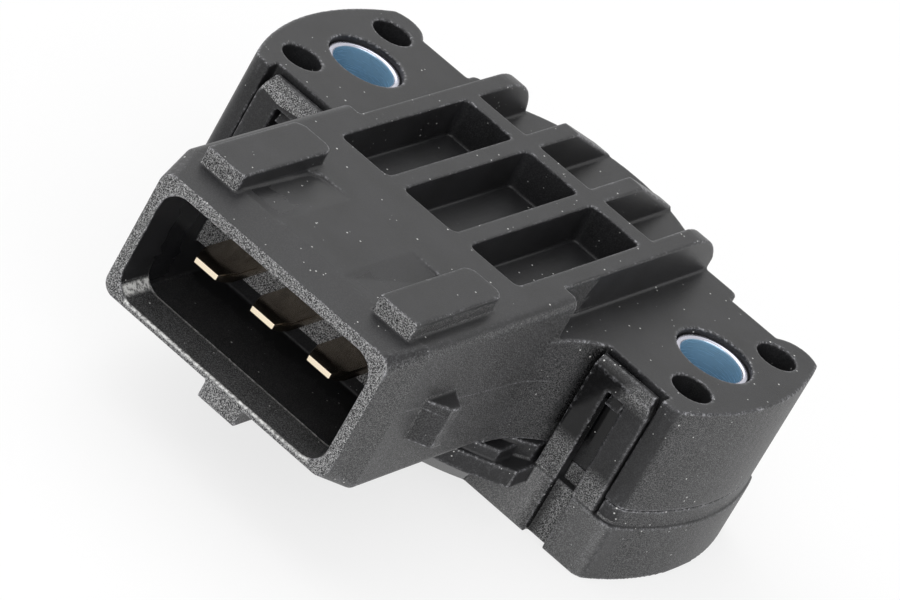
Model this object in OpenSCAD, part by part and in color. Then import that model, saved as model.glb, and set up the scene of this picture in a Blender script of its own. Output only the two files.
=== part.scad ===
// Throttle position sensor: a flange body that two screws hold, with a three-blade connector,
// a base held by two snap arms, and a potentiometer that the throttle shaft turns.
// Origin: the shaft axis on the mounting face. +Z up, the connector mouth faces -Y.

/* [Body] */
// Wall outside the seal ring, at the round back of the body
back_wall = 0.475; // [0.35:0.025:0.9]
// Distance from the round back wall to the middle of a screw hole
sleeve_land = 3.6; // [3.4:0.1:4.4]
// Plastic from the middle of a screw hole to the end of the ear
ear_land = 5.3; // [5:0.1:6]
// Back edge of the straight middle of the flange
mid_back_y = 8.65; // [8:0.05:9.4]
// Back edge of the ears
ear_back_y = 7.5; // [7.2:0.1:7.9]
// Front face of the ears, as a distance ahead of the shaft axis
ear_front_y = 9.3; // [9:0.1:9.6]
// Radius of the front corner of an ear
ear_corner_r = 1.2; // [0.5:0.1:2]

/* [Screw holes] */
// Bore of the steel sleeve
sleeve_bore_d = 4.5; // [4.2:0.1:4.8]
// Wall of the steel sleeve
sleeve_wall = 0.5; // [0.4:0.05:0.7]
// Depth of the sleeve's end below the top of the flange
sleeve_sink = 0.2; // [0.1:0.05:0.5]
// Diameter of the small core holes beside each screw
core_hole_d = 2.9; // [2:0.1:3]
// Distance of the small core holes outside the middle of the screw
core_hole_out = 1.8; // [1.6:0.1:2]
// Distance of the small core holes ahead of and behind the shaft axis
core_hole_y = 5.5; // [5.3:0.1:5.7]
// Depth of the small core holes
core_hole_depth = 7.5; // [4:0.1:8]

/* [Connector] */
// Distance from the shaft axis to the mouth of the connector
mouth_y = 32.8; // [32:0.1:36]
// Half width of the connector body
conn_x = 10.63; // [10.5:0.01:10.9]
// Height of the connector's top above the flange
conn_rise = 3.15; // [2.9:0.05:3.6]
// Length of the tapered front of the connector
taper_len = 3.1; // [2:0.1:3.6]
// Inset of the rim at the sides
rim_side_in = 0.73; // [0.4:0.01:0.9]
// Inset of the rim at the top
rim_top_in = 0.69; // [0.4:0.01:0.9]
// Inset of the rim at the bottom
rim_bottom_in = 1.05; // [0.5:0.05:1.1]
// Wall of the rim at the sides and the top
rim_wall = 0.85; // [0.7:0.05:1]
// Wall of the rim at the bottom
rim_lip = 0.42; // [0.3:0.02:0.5]
// Depth of the connector socket
socket_depth = 10.8; // [9:0.1:11.4]
// Pitch of the blades
blade_pitch = 5; // [4.9:0.05:5.1]
// Width of a blade
blade_w = 2.8; // [2.4:0.1:3]
// Thickness of a blade
blade_t = 0.8; // [0.7:0.05:0.9]
// Distance of the blade tips behind the mouth
blade_back = 1.88; // [1:0.02:3]
// Height of the blades' middle above the board's lower face
blade_rise = 0.04; // [0:0.01:0.1]

/* [Rails and pockets] */
// Distance of a rail's inner side from the middle
rail_x1 = 5.96; // [5.5:0.02:6.5]
// Width of a rail
rail_w = 3.21; // [2.8:0.01:3.4]
// Height of the rails
rail_h = 1.16; // [0.8:0.02:1.6]
// Distance of the rails' front behind the mouth
rail_back = 2.42; // [2:0.02:3]
// Length of the rails
rail_len = 10.2; // [9:0.1:11]
// Width of the middle pocket of the bridge
mid_pocket_w = 4.58; // [4.2:0.02:5]
// Width of the two outer pockets
pocket_w = 4.25; // [4:0.01:4.3]
// Thickness of the ribs between the pockets
rib_t = 1.36; // [1.2:0.02:1.7]
// Distance of the pockets' front ends from the shaft axis
pocket_front_y = 16.05; // [15:0.05:17]
// Thickness of the cross rib
cross_rib_t = 1.5; // [1.2:0.1:2]
// Distance from the shaft axis to the front of the cross rib
cross_rib_y = 0.9; // [0.5:0.1:1.5]

/* [Base] */
// Depth of the recess that takes the throttle body's boss
pilot_h = 1.4; // [1:0.1:1.8]
// Radius of that recess
pilot_r = 9.3; // [9:0.1:9.6]
// Height of the shaft seal
seal_h = 1.3; // [1:0.1:1.6]
// Plastic between the shaft seal's seat and the floor of the chamber
seat_wall = 0.5; // [0.4:0.1:1]
// Height of the base's rim above the floor of the chamber
base_rim_h = 2.3; // [2:0.1:2.8]

/* [Chamber] */
// Clearance from the rotor's rim to the wall round it
rotor_gap = 0.6; // [0.4:0.05:0.8]
// Height from the wiper's deck to the track board
finger_rise = 1.8; // [1.4:0.1:2.2]
// Thickness of the track board
board_t = 0.8; // [0.6:0.05:1]
// Thickness of the chamber's ceiling
ceiling_t = 1.5; // [1.3:0.05:1.8]
// Running clearance of the rotor's bearings
run_gap = 0.05; // [0.03:0.01:0.08]

/* [Rotor] */
// Radius of the throttle shaft that the socket takes
drive_r = 3; // [2.6:0.05:3.2]
// Cut of the flat into the drive socket's round
flat_cut = 0.8; // [0.6:0.05:1]
// Depth of the drive socket
drive_depth = 5.2; // [4.6:0.1:5.6]
// Wall of the rotor's journal round the drive socket
journal_wall = 2; // [1.8:0.05:2.2]
// Thickness of the rotor's flange
rotor_flange_t = 1.3; // [1:0.1:1.6]
// Height of the wiper's deck above the rotor's flange
deck_h = 2.2; // [1.8:0.1:2.6]
// Radius of the middle of the collector track
collector_r = 5.7; // [5.6:0.05:5.9]
// Distance from the collector track to the resistor track
track_pitch = 2.2; // [2:0.05:2.4]

/* [Hidden] */
$fn = 96;
hole_fn = 48;
small_fn = 32;
ring_fn = 16;
eps = 0.01;
past = 1;

plastic = "#2b2b2e";
steel = "#b9c4d0";
bronze = "#c08a4a";
rubber = "#1f1f1f";
ceramic = "#e8e4da";
track_ink = "#202020";
silver_ink = "#c9c9c9";
rotor_plastic = "#3a3a40";

// Rotor, from the drive socket outwards
drive_flat = drive_r - flat_cut;
journal_r = drive_r + journal_wall;
journal_bore_r = journal_r + run_gap;
resistor_r = collector_r + track_pitch;
track_w = 1.2;
wiper_edge = 1;
deck_out = 0.2;
deck_out_deg = 4;
wiper_out_r = resistor_r + wiper_edge;
wiper_in_r = collector_r - wiper_edge - 2 * deck_out;
rotor_r = wiper_out_r + deck_out;

// Base and chamber, from the rotor outwards
spigot_gap = 0.1;
spigot_t = 0.8;
spigot_h = 1.6;
spigot_in_r = rotor_r + rotor_gap;
spigot_r = spigot_in_r + spigot_t;
chamber_r = spigot_r + spigot_gap;
ring_t = 0.95;
groove_w = 1.05;
groove_h = 0.85;
ring_land = 0.275;
ring_r = chamber_r + ring_land + groove_w / 2;
back_r = ring_r + groove_w / 2 + back_wall;

// Plan of the flange, from the chamber outwards
mid_x = back_r - deck_out;
bolt_x = back_r + sleeve_land;
ear_r = bolt_x + ear_land;
sleeve_d = sleeve_bore_d + 2 * sleeve_wall;
sleeve_chamfer = 0.2;
core_hole_x = bolt_x + core_hole_out;

// Heights of the base, from the mounting face up
seal_foot = 0.1;
seal_z = pilot_h + seal_foot;
base_floor_z = seal_z + seal_h + seat_wall + seal_foot;
split_h = base_floor_z + base_rim_h;
boss_rise = 0.4;
boss_top = split_h + boss_rise;

// Heights of the rotor and the chamber, from the base up
washer_t = 0.3;
rotor_low_gap = 0.2;
rotor_low_z = pilot_h + rotor_low_gap;
rotor_flange_z = boss_top + washer_t;
rotor_top_z = rotor_flange_z + rotor_flange_t;
deck_z = rotor_top_z + deck_h;
board_low_z = deck_z + finger_rise;
ceiling_z = board_low_z + board_t;
body_h = ceiling_z + ceiling_t;
top_z = body_h + conn_rise;
blade_z = board_low_z + blade_rise;

// Snap arms of the base, in notches in the front of the ears
notch_in = 0.1;
notch_x1 = back_r - notch_in;
notch_w = 5.55;
notch_x2 = notch_x1 + notch_w;
notch_depth = 1;
notch_y = ear_front_y - notch_depth;
arm_gap = 0.15;
arm_in_gap = 0.3;
arm_x1 = notch_x1 + arm_in_gap;
arm_x2 = notch_x2 - arm_gap;
arm_y = notch_y + arm_gap;
arm_drop = 0.45;
arm_top = body_h - arm_drop;
arm_flat = 0.5;
arm_bevel = 0.6;
arm_corner_in = 0.4;
arm_corner_h = 1.5;
slot_in = 2.05;
slot_w = 1.5;
slot_x1 = notch_x1 + slot_in;
slot_x2 = slot_x1 + slot_w;
catch_gap = 0.12;
catch_drop = 3.05;
catch_z = body_h - catch_drop;
catch_h = 0.85;
catch_out = 0.9;
slot_top = catch_z + catch_h + catch_gap;

// Base outline: a foot that stands a little proud of the upper housing
proud = 0.2;
foot_drop = 1.3;
foot_h = split_h - foot_drop;
base_front_y = ear_front_y + 2 * proud;
arm_front_y = base_front_y - proud;
slit_depth = 0.7;
slit_w = 1.7;

// Flare from the connector's side into the ear
flare_r = 10.76;
flare_len = 5.1;
flare_y = ear_front_y + flare_len;
// Where the connector's full width ends and the narrower bridge over the flange begins
bridge_len = 2.8;
conn_back_y = ear_front_y + bridge_len;
bridge_x = mid_pocket_w / 2 + pocket_w + 2 * rib_t;

// Lug round the small hole at the back of each ear
lug_r = 2.1;
lug_wall = 0.5;
lug_x = core_hole_x + lug_wall;
lug_in = 0.9;
lug_y = ear_back_y - lug_in;

// Nose of the base below the connector: rings about the shaft axis, one above the other
collar_out = 3.25;
collar_r = back_r + collar_out;
collar_x = notch_x1;
disc_out = 5.05;
disc_r = back_r + disc_out;
disc_side = 0.5;
disc_x = notch_x1 + disc_side;
disc_t = 1.4;
disc_low_z = foot_h - disc_t;
block_in = 0.33;
nose_block_r = disc_r - block_in;
nose_block_out = 0.75;
nose_block_x = conn_x + nose_block_out;
nose_block_h = 0.9;
wedge_foot_out = 0.75;
wedge_foot_r = back_r + wedge_foot_out;
wedge_run = 3.34;
wedge_x2 = notch_x1;
wedge_x1 = wedge_x2 - wedge_run;

// Shaft seal, washer and boss of the base, round the journal
seal_w = 1.6;
seal_r = journal_r + seal_w;
seal_groove = 0.4;
seal_lip = 0.3;
boss_wall = 0.9;
boss_r = seal_r + boss_wall;
washer_gap = 0.15;
washer_in = 0.2;
washer_r = boss_r - washer_in;

// Hub of the rotor, and the pin of the upper housing that it turns on
hub_gap = 0.8;
rotor_hub_top = board_low_z - hub_gap;
rotor_hub_r = 3.6;
pivot_r = 1.5;
pivot_bore_r = pivot_r + run_gap;
pivot_floor = 1;
pivot_low_z = rotor_low_z + drive_depth + pivot_floor;
pivot_depth_gap = 0.3;
post_r = 0.6;
post_h = 0.45;
post_deg = 6.5;

// Track board and its printed layers
board_gap = 0.3;
board_r = chamber_r - board_gap;
board_edge = 0.5;
board_hole_gap = 0.6;
board_hole_r = rotor_hub_r + board_hole_gap;
film_t = 0.05;
film_z = board_low_z - film_t;
half_turn = 180;
track_from = 28;
track_to = half_turn - track_from;
pad_w = 1.5;
pad_len = 1.6;
pad_in = 2;
pad_y = board_r - pad_in;
lead_w = 0.5;
lead_in = 0.6;
lead_r = board_r - lead_in;
lead_deg = 5;

// Wiper: a sprung plate on the rotor's flange with two pairs of fingers
wiper_t = 0.2;
finger_w = 0.35;
finger_pitch = 0.7;
finger_back = 3.4;
finger_run = 2.2;
finger_tip = 0.45;
finger_bend = 0.35;
wiper_from = -40;
wiper_to = -12;
wiper_deg = 18;

// Ends of the blades and the springs on them
tail_w = 1.6;
tail_wall = 1.3;
tail_y = chamber_r + tail_wall;
neck_len = 8.1;
neck_y = tail_y + neck_len;
spring_w = 1.2;
spring_t = 0.25;
spring_grip = 2.1;
spring_back_y = tail_y + spring_grip;
spring_in = 0.4;
spring_tip_y = pad_y - spring_in;
spring_gap = 0.2;
spring_flat = 1.2;
spring_slope = 0.6;
spring_foot_y = spring_tip_y + spring_flat + spring_slope;
tip_bevel = 1.4;
tip_in = 0.42;
tip_thin = 0.2;

// Leaf in the drive socket
clip_t = 0.25;
clip_w = 2.6;
clip_bow = 0.3;
clip_end_gap = 0.5;

// Print panel between the rails, lugs and key of the connector
rail_x2 = rail_x1 + rail_w;
panel_depth = 0.3;
panel_fade = 3.2;
panel_gap = 0.05;
panel_x = rail_x1 - panel_gap;
panel_mid = panel_x - panel_fade;
panel_back = 2.3;
panel_len = 8.9;
panel_y1 = mouth_y - panel_back;
panel_y2 = panel_y1 - panel_len;
panel_corner = 1.2;
latch_back = 6.1;
latch_slope = 1.3;
latch_flat = 1;
latch_y1 = mouth_y - latch_back;
latch_y2 = latch_y1 - latch_slope;
latch_y3 = latch_y2 - latch_flat;
latch_y4 = latch_y3 - latch_slope;
latch_out = 1.47;
latch_drop = 1.45;
latch_h = 3.2;
latch_z = body_h - latch_drop - latch_h;
key_x1 = -0.45;
key_w = 3.2;
key_h = 1.3;
key_len = 2.6;

// Socket of the connector
lip_len = 3.2;
floor_step = 0.5;
socket_back_y = mouth_y - socket_depth;
block_back = 7.3;
block_y = mouth_y - block_back;
block_below = 1.64;
block_low_z = blade_z - blade_t / 2 - block_below;
conn_corner = 0.7;
rim_corner = 1;
socket_corner = 1.6;
conn_low_z = split_h;

// Floor and corners of the pockets, and the corners of the rails
pocket_floor = 0.2;
pocket_corner = 0.5;
rail_corner = 0.9;

// Back ends of the bridge's ribs: the outer ones round, the inner ones sloped
round_y = 4.8;
rib_end_r = 4.5;
slope_y = 5.6;
slope_fall = 0.47;

// A rectangle from one corner to the other
module rect(x1, y1, x2, y2) {
    translate([x1, y1])
        square([x2 - x1, y2 - y1]);
}

// A rectangle with all four corners rounded by true arcs
module round_rect(x1, y1, x2, y2, r) {
    rect(x1 + r, y1, x2 - r, y2);
    rect(x1, y1 + r, x2, y2 - r);
    for (x = [x1 + r, x2 - r], y = [y1 + r, y2 - r])
        translate([x, y])
            circle(r = r, $fn = small_fn);
}

// The same shape on both sides of the middle
module both_sides() {
    children();
    mirror([1, 0, 0])
        children();
}

// A profile drawn in Y and Z, carried along X
module along_x(x1, x2) {
    translate([x1, 0, 0])
        rotate([90, 0, 90])
            linear_extrude(x2 - x1)
                children();
}

// A profile drawn in X and Z, carried along Y
module along_y(y1, y2) {
    translate([0, y2, 0])
        rotate([90, 0, 0])
            linear_extrude(y2 - y1)
                children();
}

// One ear: a piece of a disc about the shaft axis with a rounded front corner
module ear_outline(out, front) {
    r = ear_r + out;
    rc = ear_corner_r;
    cx = sqrt(pow(r - rc, 2) - pow(front - rc, 2));
    arc = [cx, rc - front] * r / (r - rc);
    difference() {
        intersection() {
            circle(r = r);
            union() {
                rect(0, -front, r, ear_back_y + out);
                translate([lug_x, lug_y])
                    circle(r = lug_r + out, $fn = small_fn);
            }
        }
        polygon([[cx, rc - front], [cx, -front - past], [r + past, -front - past],
                 [r + past, arc[1]], arc]);
    }
    translate([cx, rc - front])
        circle(r = rc, $fn = small_fn);
}

// Plan of the body without the connector
module body_outline(out, front) {
    both_sides()
        ear_outline(out, front);
    intersection() {
        circle(r = back_r + out);
        rect(-back_r - past, -front, back_r + past, back_r + past);
    }
    round_rect(-mid_x - out, -ear_corner_r, mid_x + out, mid_back_y + out, ear_corner_r / 2);
}

// Plan of the upper housing: the body, and the flare from the connector's sides into the ears
module upper_outline() {
    body_outline(0, ear_front_y);
    difference() {
        rect(-notch_x1, -flare_y, notch_x1, 0);
        both_sides()
            flare_round();
    }
}

module flare_round() {
    translate([conn_x + flare_r, -flare_y])
        circle(r = flare_r);
}

// Plan of the notch that takes one snap arm; the flare's curve runs on into it
module notch_outline(front) {
    rect(notch_x1, -front - past, notch_x2, -notch_y);
    intersection() {
        flare_round();
        rect(conn_x, -front - past, notch_x1 + eps, -notch_y);
    }
}

module screw_holes(r, z1, z2) {
    for (x = [-bolt_x, bolt_x])
        translate([x, 0, z1])
            cylinder(r = r, h = z2 - z1, $fn = hole_fn);
}

module core_holes() {
    for (x = [-core_hole_x, core_hole_x], y = [-core_hole_y, core_hole_y])
        translate([x, y, body_h - core_hole_depth])
            cylinder(d = core_hole_d, h = core_hole_depth + past, $fn = hole_fn);
}

// Section of the connector at the rim or behind the taper
module conn_section(side_in, low_in, top_in, corner) {
    round_rect(-conn_x + side_in, conn_low_z + low_in, conn_x - side_in, top_z - top_in, corner);
}

module conn_body() {
    along_y(-mouth_y + taper_len, -conn_back_y)
        conn_section(0, 0, 0, conn_corner);
    hull() {
        along_y(-mouth_y + taper_len, -mouth_y + taper_len + eps)
            conn_section(0, 0, 0, conn_corner);
        along_y(-mouth_y, -mouth_y + eps)
            conn_section(rim_side_in, rim_bottom_in, rim_top_in, rim_corner);
    }
}

// Plan of the two ribs whose left sides are on the given lines, over the back of the body
module rib_plan(lines) {
    translate([0, 0, body_h - eps])
        linear_extrude(conn_rise + eps)
            intersection() {
                upper_outline();
                for (x = lines)
                    rect(x, -cross_rib_y, x + rib_t, back_r + past);
            }
}

// Ribs and cross rib of the bridge, with round and sloped back ends
module bridge() {
    along_y(-conn_back_y - past, -cross_rib_y + cross_rib_t)
        rect(-bridge_x, body_h - eps, bridge_x, top_z);
    intersection() {
        rib_plan([rib_lines()[1], rib_lines()[2]]);
        along_x(-bridge_x, bridge_x)
            polygon([[-cross_rib_y - past, body_h - past], [back_r + past, body_h - past],
                     [back_r + past, top_z - (back_r + past - slope_y) * slope_fall],
                     [slope_y, top_z], [-cross_rib_y - past, top_z]]);
    }
    intersection() {
        rib_plan([rib_lines()[0], rib_lines()[3]]);
        along_x(-bridge_x, bridge_x) {
            rect(-cross_rib_y - past, body_h - past, round_y, top_z);
            translate([round_y, top_z - rib_end_r])
                circle(r = rib_end_r);
        }
    }
}

function rib_lines() =
    [-bridge_x, -mid_pocket_w / 2 - rib_t, mid_pocket_w / 2, bridge_x - rib_t];

module pockets() {
    inner = [for (i = [0:2]) rib_lines()[i] + rib_t];
    outer = [for (i = [1:3]) rib_lines()[i]];
    for (i = [0:2])
        translate([0, 0, body_h + pocket_floor])
            linear_extrude(conn_rise + past)
                round_rect(inner[i], -pocket_front_y, outer[i], -cross_rib_y, pocket_corner);
}

module rails() {
    y1 = -mouth_y + rail_back;
    both_sides()
        translate([0, 0, top_z - eps])
            linear_extrude(rail_h + eps) {
                rect(rail_x1, y1, rail_x2, y1 + 2 * rail_corner);
                round_rect(rail_x1, y1, rail_x2, y1 + rail_len, rail_corner);
            }
}

module latch_lugs() {
    both_sides()
        translate([0, 0, latch_z])
            linear_extrude(latch_h)
                polygon([[conn_x - eps, -latch_y1], [conn_x + latch_out, -latch_y2],
                         [conn_x + latch_out, -latch_y3], [conn_x - eps, -latch_y4]]);
}

module key() {
    rim_low = conn_low_z + rim_bottom_in;
    translate([key_x1, -mouth_y, rim_low - key_h])
        cube([key_w, key_len, key_h + rim_lip / 2]);
}

module socket() {
    low = conn_low_z + rim_bottom_in + rim_lip;
    high = top_z - rim_top_in - rim_wall;
    half = conn_x - rim_side_in - rim_wall;
    along_y(-mouth_y - past, -block_y)
        round_rect(-half, low, half, high, socket_corner);
    along_y(-mouth_y + lip_len, -socket_back_y)
        rect(-half, low - floor_step, half, block_low_z);
}

module blade_slots() {
    for (i = [-1:1])
        blade_shape(i);
}

module blade_shape(i) {
    x = i * blade_pitch;
    z = blade_z - blade_t / 2;
    translate([0, 0, z])
        linear_extrude(blade_t) {
            rect(x - blade_w / 2, -mouth_y + blade_back + tip_bevel, x + blade_w / 2, -neck_y);
            rect(x - tail_w / 2, -neck_y - eps, x + tail_w / 2, -tail_y);
        }
}

module spring_slots() {
    low = blade_z - blade_t / 2 - spring_t - spring_gap;
    for (i = [-1:1])
        translate([i * blade_pitch, 0, 0])
            along_x(-spring_w / 2 - spring_gap, spring_w / 2 + spring_gap) {
                rect(-spring_back_y - spring_gap, low, -chamber_r / 2, blade_z - blade_t / 2);
                rect(-spring_foot_y - spring_gap, low, -chamber_r / 2, film_z + spring_gap);
            }
}

module catches() {
    both_sides()
        along_x(slot_x1 + catch_gap, slot_x2 - catch_gap)
            polygon([[-notch_y + eps, catch_z], [-notch_y - catch_out, catch_z],
                     [-notch_y - catch_out / 2, catch_z + catch_h], [-notch_y + eps, catch_z + catch_h]]);
}

module upper_housing() {
    color(plastic)
    difference() {
        union() {
            difference() {
                translate([0, 0, split_h])
                    linear_extrude(body_h - split_h)
                        difference() {
                            upper_outline();
                            both_sides()
                                notch_outline(ear_front_y);
                        }
                translate([0, 0, split_h - past])
                    cylinder(r = chamber_r, h = ceiling_z - split_h + past);
            }
            conn_body();
            bridge();
            rails();
            latch_lugs();
            key();
            catches();
            translate([0, 0, pivot_low_z + pivot_depth_gap])
                cylinder(r = pivot_r, h = ceiling_z - pivot_low_z - pivot_depth_gap + eps, $fn = hole_fn);
        }
        socket();
        pockets();
        blade_slots();
        spring_slots();
        screw_holes(sleeve_d / 2 + run_gap, 0, body_h + past);
        core_holes();
        print_panel();
    }
}

// Print panel: its floor falls from nothing at the front and in the middle to its depth in
// the two back corners
module print_panel() {
    intersection() {
        translate([0, 0, top_z - panel_depth])
            linear_extrude(panel_depth + past)
                round_rect(-panel_x, -panel_y1, panel_x, -panel_y2, panel_corner);
        along_x(-panel_x, panel_x)
            polygon([[-panel_y1, top_z], [-panel_y2, top_z - panel_depth], [-panel_y2, top_z + past],
                     [-panel_y1, top_z + past]]);
        along_y(-panel_y1, -panel_y2)
            polygon([[-panel_x, top_z - panel_depth], [-panel_mid, top_z], [panel_mid, top_z],
                     [panel_x, top_z - panel_depth], [panel_x, top_z + past],
                     [-panel_x, top_z + past]]);
    }
}

// One arm: flat on top, bevelled towards the front, its outer top corner cut
module snap_arm() {
    intersection() {
        along_x(arm_x1, arm_x2)
            polygon([[-arm_front_y, foot_h - past], [-arm_y, foot_h - past], [-arm_y, arm_top],
                     [-arm_y - arm_flat, arm_top], [-arm_front_y, arm_top - arm_bevel]]);
        along_y(-base_front_y, -notch_y)
            polygon([[arm_x1, 0], [arm_x2, 0], [arm_x2, arm_top - arm_corner_h],
                     [arm_x2 - arm_corner_in, arm_top], [arm_x1, arm_top]]);
    }
}

module arm_window() {
    translate([slot_x1, -base_front_y - past, foot_h])
        cube([slot_x2 - slot_x1, base_front_y - arm_y + past + eps, slot_top - foot_h]);
    translate([slot_x1, -base_front_y - past, -past])
        cube([slit_w, slit_depth + past, foot_h + past + eps]);
}

// A piece of a disc about the shaft axis, ahead of it and up to x to each side
module nose_sector(r, x) {
    intersection() {
        circle(r = r);
        rect(-x, -r, x, 0);
    }
}

// Nose of the base under the connector: collar, block, disc, and the wedge that carries them
module nose() {
    translate([0, 0, disc_low_z])
        linear_extrude(split_h - disc_low_z)
            nose_sector(collar_r, collar_x);
    translate([0, 0, disc_low_z])
        linear_extrude(disc_t + nose_block_h)
            nose_sector(nose_block_r, nose_block_x);
    translate([0, 0, disc_low_z])
        linear_extrude(disc_t)
            nose_sector(disc_r, disc_x);
    intersection() {
        rotate_extrude()
            polygon([[0, 0], [wedge_foot_r, 0], [disc_r, disc_low_z + eps], [0, disc_low_z + eps]]);
        linear_extrude(disc_low_z + eps)
            both_sides()
                polygon([[-eps, 0], [wedge_x1, 0], [wedge_x1, -base_front_y], [wedge_x2, -disc_r],
                         [-eps, -disc_r]]);
    }
}

module lower_housing() {
    color(plastic)
    difference() {
        union() {
            difference() {
                union() {
                    linear_extrude(foot_h)
                        body_outline(proud, base_front_y);
                    linear_extrude(split_h)
                        difference() {
                            body_outline(0, ear_front_y);
                            both_sides()
                                rect(notch_x1, -base_front_y - past, notch_x2 + arm_gap / 2, -notch_y);
                        }
                    nose();
                }
                translate([0, 0, base_floor_z])
                    cylinder(r = spigot_in_r, h = split_h);
            }
            translate([0, 0, split_h - eps])
                difference() {
                    cylinder(r = spigot_r, h = spigot_h);
                    translate([0, 0, -past])
                        cylinder(r = spigot_in_r, h = spigot_h + 2 * past);
                }
            cylinder(r = boss_r, h = boss_top);
            both_sides()
                snap_arm();
        }
        both_sides()
            arm_window();
        translate([0, 0, -past])
            cylinder(r = pilot_r, h = pilot_h + past);
        cylinder(r = seal_r, h = seal_z + seal_h, $fn = hole_fn);
        cylinder(r = journal_bore_r, h = boss_top + past, $fn = hole_fn);
        screw_holes(sleeve_d / 2 + run_gap, -past, split_h + past);
        translate([0, 0, split_h - groove_h])
            difference() {
                cylinder(r = ring_r + groove_w / 2, h = groove_h + past);
                translate([0, 0, -past])
                    cylinder(r = ring_r - groove_w / 2, h = groove_h + 3 * past);
            }
    }
}

// Rubber ring, pressed flat between the base's groove and the upper housing
module housing_seal() {
    color(rubber)
    rotate_extrude()
        translate([ring_r, split_h - groove_h / 2])
            intersection() {
                circle(d = ring_t, $fn = ring_fn);
                square([ring_t, groove_h], center = true);
            }
}

module sleeve(x) {
    color(steel)
    translate([x, 0, 0])
        rotate_extrude($fn = hole_fn)
            polygon([[sleeve_bore_d / 2, 0], [sleeve_d / 2, 0],
                     [sleeve_d / 2, body_h - sleeve_sink],
                     [sleeve_bore_d / 2 + sleeve_chamfer, body_h - sleeve_sink],
                     [sleeve_bore_d / 2, body_h - sleeve_sink - sleeve_chamfer]]);
}

module left_sleeve() sleeve(-bolt_x);

module right_sleeve() sleeve(bolt_x);

// Blade with a thinned, narrowed tip
module terminal(i) {
    x = i * blade_pitch;
    tip = -mouth_y + blade_back;
    color(bronze) {
        blade_shape(i);
        translate([x, 0, blade_z])
            intersection() {
                linear_extrude(blade_t, center = true)
                    polygon([[-blade_w / 2 + tip_in, tip], [blade_w / 2 - tip_in, tip],
                             [blade_w / 2, tip + tip_bevel], [blade_w / 2, tip + tip_bevel + eps],
                             [-blade_w / 2, tip + tip_bevel + eps], [-blade_w / 2, tip + tip_bevel]]);
                along_x(-blade_w, blade_w)
                    polygon([[tip, -blade_t / 2 + tip_thin], [tip, blade_t / 2 - tip_thin],
                             [tip + tip_bevel / 2, blade_t / 2], [tip + tip_bevel + past, blade_t / 2],
                             [tip + tip_bevel + past, -blade_t / 2], [tip + tip_bevel / 2, -blade_t / 2]]);
            }
    }
}

module terminal_left() terminal(-1);

module terminal_center() terminal(0);

module terminal_right() terminal(1);

// Bronze strip under the blade's tail, sprung up against the board's pad
module contact(i) {
    low = blade_z - blade_t / 2 - spring_t;
    rise_y = spring_foot_y - spring_slope;
    color(bronze)
    translate([i * blade_pitch, 0, 0])
        along_x(-spring_w / 2, spring_w / 2)
            polygon([[-spring_back_y, low], [-spring_foot_y, low], [-rise_y, film_z - spring_t],
                     [-spring_tip_y, film_z - spring_t], [-spring_tip_y, film_z], [-rise_y, film_z],
                     [-spring_foot_y, low + spring_t], [-spring_back_y, low + spring_t]]);
}

module contact_left() contact(-1);

module contact_center() contact(0);

module contact_right() contact(1);

module track_board() {
    color(ceramic)
    translate([0, 0, board_low_z])
        linear_extrude(board_t)
            difference() {
                intersection() {
                    circle(r = board_r);
                    rect(-board_r, -pad_y - pad_len / 2 - board_edge, board_r, board_r);
                }
                circle(r = board_hole_r, $fn = hole_fn);
            }
}

// A sector of a ring, between two angles
module arc_band(r, w, a1, a2) {
    steps = ceil((a2 - a1) / 45);
    reach = (r + w) * 1.5;
    intersection() {
        difference() {
            circle(r = r + w / 2);
            circle(r = r - w / 2);
        }
        polygon(concat([[0, 0]],
                       [for (k = [0:steps]) reach * [cos(a1 + (a2 - a1) * k / steps),
                                                     sin(a1 + (a2 - a1) * k / steps)]]));
    }
}

module printed() {
    translate([0, 0, film_z])
        linear_extrude(film_t)
            children();
}

module resistor_track() {
    color(track_ink)
    printed()
        arc_band(resistor_r, track_w, track_from, track_to);
}

module collector_track() {
    color(track_ink)
    printed()
        arc_band(collector_r, track_w, track_from, track_to);
}

function pad_angle() = atan2(pad_y, blade_pitch);

module conductor_traces() {
    pad_low = -pad_y - pad_len / 2;
    color(silver_ink)
    printed() {
        both_sides() {
            arc_band(lead_r, lead_w, -pad_angle(), track_from);
            rect(blade_pitch - pad_w / 2, pad_low, blade_pitch + pad_w / 2, pad_low + pad_len);
            arc_band(resistor_r, track_w, track_from - lead_deg, track_from);
            arc_band((resistor_r + lead_r) / 2, lead_r - resistor_r, track_from - lead_deg, track_from);
        }
        rect(-pad_w / 2, pad_low, pad_w / 2, pad_low + pad_len);
        rect(-lead_w / 2, pad_low, lead_w / 2, -collector_r);
        arc_band(collector_r, track_w / 2, -90, track_from);
    }
}

module shaft_seal() {
    color(rubber)
    rotate_extrude()
        translate([0, seal_z])
            polygon([[journal_bore_r, 0], [seal_r, 0], [seal_r, seal_h], [journal_bore_r, seal_h],
                     [journal_bore_r, seal_h - seal_lip], [journal_bore_r + seal_groove, seal_h / 2],
                     [journal_bore_r + seal_groove, seal_lip]]);
}

module thrust_washer() {
    color(steel)
    translate([0, 0, boss_top])
        difference() {
            cylinder(r = washer_r, h = washer_t);
            translate([0, 0, -past])
                cylinder(r = journal_r + washer_gap, h = washer_t + 2 * past);
        }
}

// The throttle shaft's section: a round with one flat
module drive_outline() {
    intersection() {
        circle(r = drive_r, $fn = hole_fn);
        rect(-drive_r, -drive_r, drive_flat, drive_r);
    }
}

// The places of the two posts that hold the wiper
module post_places() {
    for (a = [-post_deg, post_deg])
        rotate(wiper_deg + (wiper_from + wiper_to) / 2 + a)
            translate([(wiper_in_r + wiper_out_r) / 2, 0, 0])
                children();
}

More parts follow.
